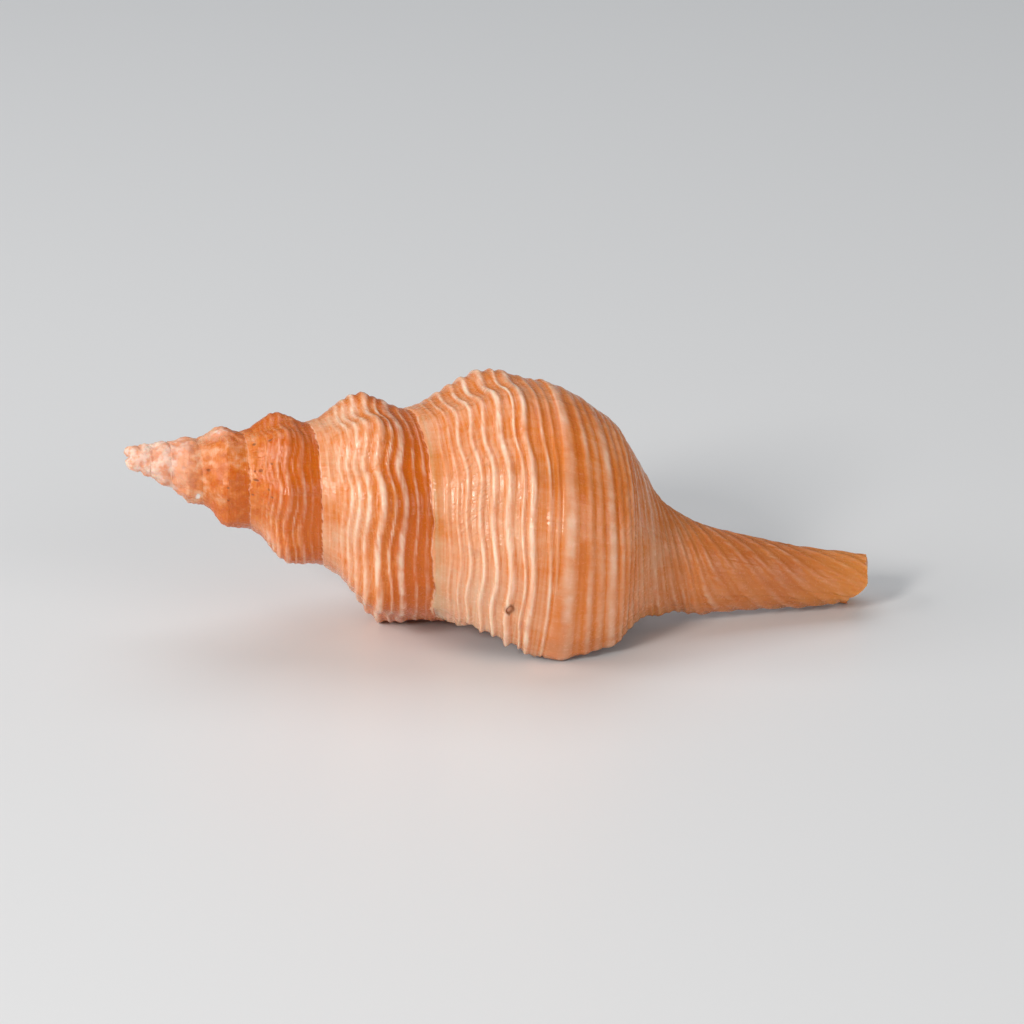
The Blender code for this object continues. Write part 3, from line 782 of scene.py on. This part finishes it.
def tube_skin(columns):
    """The hollow's tube, wound back up inside the whorls and smaller by the same growth."""
    outer_part = columns[columns <= NECK + 1e-9]
    inner_part = columns[(columns > 1) & (columns < NECK - 1e-9)][::-1]
    outer = outer_hollow(outer_part, np.ones(len(outer_part)))[0]
    inner = outer_hollow(inner_part, np.ones(len(inner_part)))[0]
    inner = inner_hollow(inner_part, np.ones(len(inner_part)), inner)[0]
    loop = np.concatenate([outer, inner, outer[:1]])
    stations = np.concatenate([outer_part, inner_part, outer_part[:1]])
    start = in_space(loop, np.full(len(loop), -CANAL_DEPTH))
    loop[:, 1] = np.hypot(start[:, 1], start[:, 2])
    deeper = np.linspace(0, HOLLOW_TURNS, TUBE_ROWS + 1)
    rows = [start] + [in_space(loop * np.array([GROWTH_X, GROWTH_R]) ** -back,
                               np.full(len(loop), -CANAL_DEPTH - back)) for back in deeper[1:]]
    rows.append(np.tile(rows[-1][:-1].mean(axis=0), (len(loop), 1)))
    turns = -CANAL_DEPTH - np.append(deeper, HOLLOW_TURNS)[:, None]
    return wrap("tube", np.stack(rows), turns, stations, inside=1.0)


def lie_down():
    """From the axis to the place in the frame where the shell lies on the table."""
    turned = Matrix.Rotation(YAW, 4, "Z") @ Matrix.Rotation(TILT, 4, "Y") @ Matrix.Rotation(ROLL, 4, "X")
    return Matrix.Translation(Vector(AXIS_START) * MM) @ turned


def grow_shell():
    """All the skins, merged into one closed shell, laid on the table and selected."""
    skins, older = spire_skins()
    columns = spaced(*COLUMNS)
    body = last_whorl(columns, older)
    skins = [*skins, body, *mouth_skins(columns)]
    bpy.ops.object.select_all(action="DESELECT")
    for skin in skins:
        skin.select_set(True)
    bpy.context.view_layer.objects.active = body
    bpy.ops.object.join()
    shell = bpy.context.active_object
    shell.name = "horse_conch_shell"
    bpy.ops.object.mode_set(mode="EDIT")
    bpy.ops.mesh.select_all(action="SELECT")
    bpy.ops.mesh.remove_doubles(threshold=0.001 * MM)
    bpy.ops.mesh.normals_make_consistent(inside=False)
    bpy.ops.object.mode_set(mode="OBJECT")
    shell.data.transform(lie_down())
    for vertex in shell.data.vertices:
        if vertex.co.z < FOOT * MM:
            vertex.co.z = FOOT * MM * math.exp(vertex.co.z / (FOOT * MM) - 1)
    return shell


def bore_pits(shell):
    """Small pits left by boring animals, each cut into a finer patch of the surface."""
    placed = lie_down()
    mesh = bmesh.new()
    mesh.from_mesh(shell.data)
    paint = mesh.verts.layers.float["pit"]
    ragged, waves = PIT_RAGGED
    rim_place, rim_reach, rim_height = PIT_RIM
    for turn, station, radius, depth, longer, dark in PITS:
        at = np.array([turn, turn, turn + 0.001])
        sites = outer_skin(at, np.array([station, station + 0.01, station]))[0]
        centre, down_profile, ahead = [placed @ (Vector(site) * MM) for site in sites]
        profile_way = (down_profile - centre).normalized()
        inwards = (down_profile - centre).cross(ahead - centre).normalized()
        reach = radius * longer * PIT_REACH * MM
        for finer in range(5):
            near = {vertex for vertex in mesh.verts if (vertex.co - centre).length < reach + 0.3 * MM}
            long_edges = [edge for edge in mesh.edges if near.issuperset(edge.verts)
                          and edge.calc_length() > PIT_STEP * radius * MM]
            if long_edges:
                bmesh.ops.subdivide_edges(mesh, edges=long_edges, cuts=1, use_grid_fill=True)
        for vertex in mesh.verts:
            offset = vertex.co - centre
            if offset.length > reach:
                continue
            lengthwise = offset.dot(profile_way)
            sideways = offset - lengthwise * profile_way
            sideways -= sideways.dot(inwards) * inwards
            distance = math.hypot(lengthwise / longer, sideways.length) / (radius * MM)
            outline = 1 + ragged * noise.noise(offset * (waves / MM))
            sunk = max(1 - (distance / outline) ** 2, 0.0) ** 0.7
            vertex.co += inwards * (depth * (sunk - rim_height * hump(distance, rim_place, rim_reach))) * MM
            shade = hump(distance, *PIT_RING) if dark > 0 and radius > RINGED else min(1.0, 1.6 * sunk)
            darkest = max if dark > 0 else min
            vertex[paint] = darkest(vertex[paint], dark * shade)
    mesh.to_mesh(shell.data)
    mesh.free()


# ---------------- finish of the wall

CREAM = "#FAE2CC"  # the cords
TAN = "#ECC1A0"  # next to the suture
PEACH = "#E6A57C"
ORANGE = "#DC7E34"
BURNT = "#CC640C"  # above the next suture
UMBER = "#8E4A1E"  # in scars and scratches
DUN = "#AE7042"  # the duller canal
AMBER = "#DE8F3C"  # painted glow of light through the thin edges
GLAZE = "#E07440"  # inside the mouth
THROAT = "#C8501E"
CHALK = "#F6E0D2"  # the worn spire
FLESH = "#E79F7E"
DARK_BROWN = "#8C4C22"  # darker in the pits, and painted shade along the sutures
WHITE_SPOT = "#F7F2F0"  # a small white spot on the spire

LAST_GIRTH = 88.0  # mm round the last whorl

# noise laid along the growth: waves in a mm round the whorl and along its profile, detail, roughness
GROWTH_NOISE = {
    "striae": (2.2, 0.16, 4.0, 0.6), "bands": (0.16, 0.05, 2.0, 0.55), "threads": (0.06, 3.4, 2.0, 0.5),
    "broken": (0.11, 1.4, 3.0, 0.55), "scars": (0.45, 0.12, 2.0, 0.4),
}
# noise through the wall: waves in a mm, detail, roughness
WALL_NOISE = {"blotches": (0.26, 3.0, 0.55), "patches": (0.9, 3.0, 0.6), "fine": (2.6, 3.0, 0.65)}
MIDDLING = 0.945  # what the noises add to the depth on average
SCRATCH_SLANT = math.radians(-40)
SCRATCH_WAVES = (0.5, 3.2)  # in a mm, along the scratches and across them


def linear(hex_colour):
    """An sRGB hex colour as linear RGBA."""
    values = [int(hex_colour[i:i + 2], 16) / 255 for i in (1, 3, 5)]
    return [v / 12.92 if v <= 0.04045 else ((v + 0.055) / 1.055) ** 2.4 for v in values] + [1.0]


def shell_wall():
    """Shell grown in layers: a satin coloured skin with growth lines across the spiral cords."""
    material = bpy.data.materials.new("shell_wall")
    material.use_nodes = True
    tree = material.node_tree
    tree.nodes.clear()

    def add(kind, inputs=None, output=0, **settings):
        """Adds a node with its settings, values, colours and links, and gives back one of its outputs."""
        node = tree.nodes.new("ShaderNode" + kind)
        for name, value in settings.items():
            setattr(node, name, value)
        for name, value in (inputs or {}).items():
            if isinstance(value, bpy.types.NodeSocket):
                tree.links.new(value, node.inputs[name])
            else:
                node.inputs[name].default_value = linear(value) if isinstance(value, str) else value
        return node.outputs[output] if node.outputs else None

    growth = add("UVMap", uv_map="growth")
    place = add("TexCoord", output="Object")
    paint = {name: add("Attribute", output="Fac", attribute_name=name) for name in PAINT}

    cloud = {}
    for name, (round_it, along_it, detail, rough) in GROWTH_NOISE.items():
        scale = (LAST_GIRTH * round_it, WHORL_LENGTH * along_it, 1.0)
        stretched = add("Mapping", {"Vector": growth, "Scale": scale})
        cloud[name] = add("TexNoise", {"Vector": stretched, "Scale": 1.0, "Detail": detail, "Roughness": rough})
    for name, (waves, detail, rough) in WALL_NOISE.items():
        scale = waves / MM
        cloud[name] = add("TexNoise", {"Vector": place, "Scale": scale, "Detail": detail, "Roughness": rough})

    # fine scratches that slant across the growth
    few, many = [MM / waves for waves in SCRATCH_WAVES]
    slanting = add("Mapping", {"Vector": place, "Rotation": (0.0, SCRATCH_SLANT, 0.0),
                               "Scale": (few, few, many)}, vector_type="TEXTURE")
    scratches = add("TexNoise", {"Vector": slanting, "Scale": 1.0, "Detail": 2.0, "Roughness": 0.5})
    worn = add("Math", {0: cloud["blotches"], 1: 0.7, 2: paint["worn"]}, operation="MULTIPLY_ADD")

    # soft steps: what, from which two values, and to which if not 0 and 1
    soft = {}
    for name, *step in (("scratches", scratches, 0.5, 0.66), ("scar", cloud["scars"], 0.6, 0.68),
                        ("chalky", worn, 0.42, 1.3), ("flesh", cloud["patches"], 0.38, 0.62),
                        ("glazed", paint["inside"], 0.1, 0.4), ("throat", paint["inside"], 0.35, 1.0),
                        ("sheen", cloud["fine"], 0.3, 0.7, 0.15, 0.3),
                        ("broken", cloud["broken"], 0.25, 0.75, 0.45, 1.15)):
        sockets = zip(("Value", "From Min", "From Max", "To Min", "To Max"), step)
        soft[name] = add("MapRange", dict(sockets), interpolation_type="SMOOTHSTEP")

    scratches = add("Math", {0: soft["scratches"], 1: paint["scuff"]}, operation="MULTIPLY")
    # the cords' feet carry painted shade, which deepens the orange
    feet = add("Math", {0: paint["cord"], 1: 0.0}, operation="MINIMUM")
    mottle = add("Math", {0: cloud["patches"], 1: cloud["blotches"]}, operation="ADD")
    mottle = add("Math", {0: mottle, 1: 1.0}, operation="SUBTRACT")
    mottle = add("Math", {0: mottle, 1: paint["mottle"]}, operation="MULTIPLY")
    pitted = add("Math", {0: cloud["patches"], 1: paint["worn"]}, operation="MULTIPLY")

    # how deep the orange is, how rough the skin is and its finest relief, each a sum of weighted parts
    sums = {
        "depth": [paint["stain"], (cloud["blotches"], 0.55), (cloud["threads"], 0.55), (cloud["bands"], 0.35),
                  (cloud["striae"], 0.22), (cloud["patches"], 0.22), (feet, -0.9), (mottle, 1.8)],
        "rough": [soft["sheen"], (soft["chalky"], 0.2), (paint["pit"], 0.3), (soft["glazed"], -0.12)],
        "relief": [0.0, (cloud["threads"], 0.45), (cloud["striae"], 0.55), (cloud["fine"], 0.12),
                   (cloud["patches"], 0.55), (soft["scar"], -0.25), (scratches, 0.5), (pitted, 1.2)],
    }
    for name, (total, *parts) in sums.items():
        for part, weight in parts:
            total = add("Math", {0: part, 1: weight, 2: total}, operation="MULTIPLY_ADD")
        sums[name] = total

    depth = add("Math", {0: sums["depth"], 1: MIDDLING}, operation="SUBTRACT", use_clamp=True)
    skin = add("ValToRGB", {"Fac": depth})
    stops = skin.node.color_ramp.elements
    stops[0].position, stops[0].color = 0.0, linear(TAN)
    stops[1].position, stops[1].color = 1.0, linear(BURNT)
    for position, colour in ((0.34, PEACH), (0.68, ORANGE)):
        stops.new(position).color = linear(colour)

    ridge = add("Math", {0: paint["cord"], 1: soft["broken"]}, operation="MULTIPLY")
    ridge = add("MapRange", {"Value": ridge, "From Min": 0.08, "From Max": 1.15, "To Max": 0.85},
                interpolation_type="SMOOTHSTEP")
    chalk, glaze = [add("Mix", {0: soft[name], 6: low, 7: high}, 2, data_type="RGBA")
                    for name, low, high in (("flesh", FLESH, CHALK), ("throat", GLAZE, THROAT))]
    for share, most, colour in (
            (ridge, 1.0, CREAM), (soft["scar"], 0.07, UMBER), (scratches, 0.17, UMBER),
            (paint["dull"], 0.5, DUN), (paint["amber"], 0.55, AMBER), (soft["chalky"], 0.8, chalk),
            (soft["glazed"], 1.0, glaze), (paint["pit"], 0.75, DARK_BROWN), (paint["pit"], -0.9, WHITE_SPOT)):
        share = add("Math", {0: share, 1: most}, operation="MULTIPLY", use_clamp=True)
        skin = add("Mix", {0: share, 6: skin, 7: colour}, 2, data_type="RGBA")

    bump = add("Bump", {"Height": sums["relief"], "Strength": 0.8, "Distance": 0.11 * MM})
    principled = add("BsdfPrincipled", {
        "Base Color": skin, "Roughness": sums["rough"], "Normal": bump, "IOR": 1.5,
        "Specular IOR Level": 0.45, "Subsurface Weight": 0.5,
        "Subsurface Radius": (1.0, 0.45, 0.28), "Subsurface Scale": 1.0 * MM})
    add("OutputMaterial", {"Surface": principled})
    return material


# ---------------- table, light, camera

TABLE = "#E0E2E5"
TABLE_ROUGHNESS = 0.38
AIM = Vector((0.72, 0.89, 12.96)) * MM
VIEW_ELEVATION = math.radians(22.4)
VIEW_DISTANCE = 0.4
LENS = 124.5  # mm

# window light: name, place, size, power in W, colour
LIGHTS = [
    ("window", (-0.64, -0.1, 0.38), (0.3, 0.3), 1.95, "#FFFBF6"),
    ("front_window", (-0.44, -0.6, 0.42), (0.16, 0.24), 4.1, "#FFF9F2"),
    ("ceiling", (-0.05, 0.32, 0.72), (0.6, 0.6), 2.1, "#FBFDFF"),
    ("fill", (0.6, -0.52, 0.34), (0.5, 0.4), 1.8, "#FFF8F0"),
]
ROOM_LIGHT = ("#E4E8EA", 0.23)  # what comes from all round: colour and strength
LIT = Vector((0, 0, 0.01))  # what the lights point at


def set_table():
    """Eggshell paint on a board: pale, with a wide soft reflection."""
    bpy.ops.mesh.primitive_plane_add(size=6.0, location=(0, 0, 0))
    table = bpy.context.active_object
    table.name = "table"
    material = bpy.data.materials.new("painted_board")
    material.use_nodes = True
    principled = material.node_tree.nodes["Principled BSDF"]
    principled.inputs["Base Color"].default_value = linear(TABLE)
    principled.inputs["Roughness"].default_value = TABLE_ROUGHNESS
    table.data.materials.append(material)


def soft_light(name, place, size, power, colour):
    """A lit rectangle, like a window or a bright wall."""
    bpy.ops.object.light_add(type="AREA", location=place)
    lamp = bpy.context.active_object
    lamp.name = name
    lamp.data.shape = "RECTANGLE"
    lamp.data.size, lamp.data.size_y = size
    lamp.data.energy = power
    lamp.data.color = linear(colour)[:3]
    lamp.rotation_euler = (LIT - Vector(place)).to_track_quat("-Z", "Y").to_euler()


def set_studio():
    world = bpy.data.worlds.new("studio")
    world.use_nodes = True
    colour, strength = ROOM_LIGHT
    background = world.node_tree.nodes["Background"]
    background.inputs["Color"].default_value = linear(colour)
    background.inputs["Strength"].default_value = strength
    bpy.context.scene.world = world
    for light in LIGHTS:
        soft_light(*light)
    bpy.context.scene.view_settings.view_transform = "Standard"


def set_camera():
    data = bpy.data.cameras.new("camera")
    data.lens = LENS
    data.clip_start = 0.01
    camera = bpy.data.objects.new("camera", data)
    bpy.context.scene.collection.objects.link(camera)
    looking = Vector((0, math.cos(VIEW_ELEVATION), -math.sin(VIEW_ELEVATION)))
    camera.location = AIM - looking * VIEW_DISTANCE
    camera.rotation_euler = (math.pi / 2 - VIEW_ELEVATION, 0, 0)
    bpy.context.scene.camera = camera


shell = grow_shell()
bore_pits(shell)
bpy.ops.object.shade_smooth_by_angle(angle=SHARP_EDGE)
shell.data.materials.append(shell_wall())
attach(shell, "root")
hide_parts(NODE)
set_table()
set_studio()
set_camera()
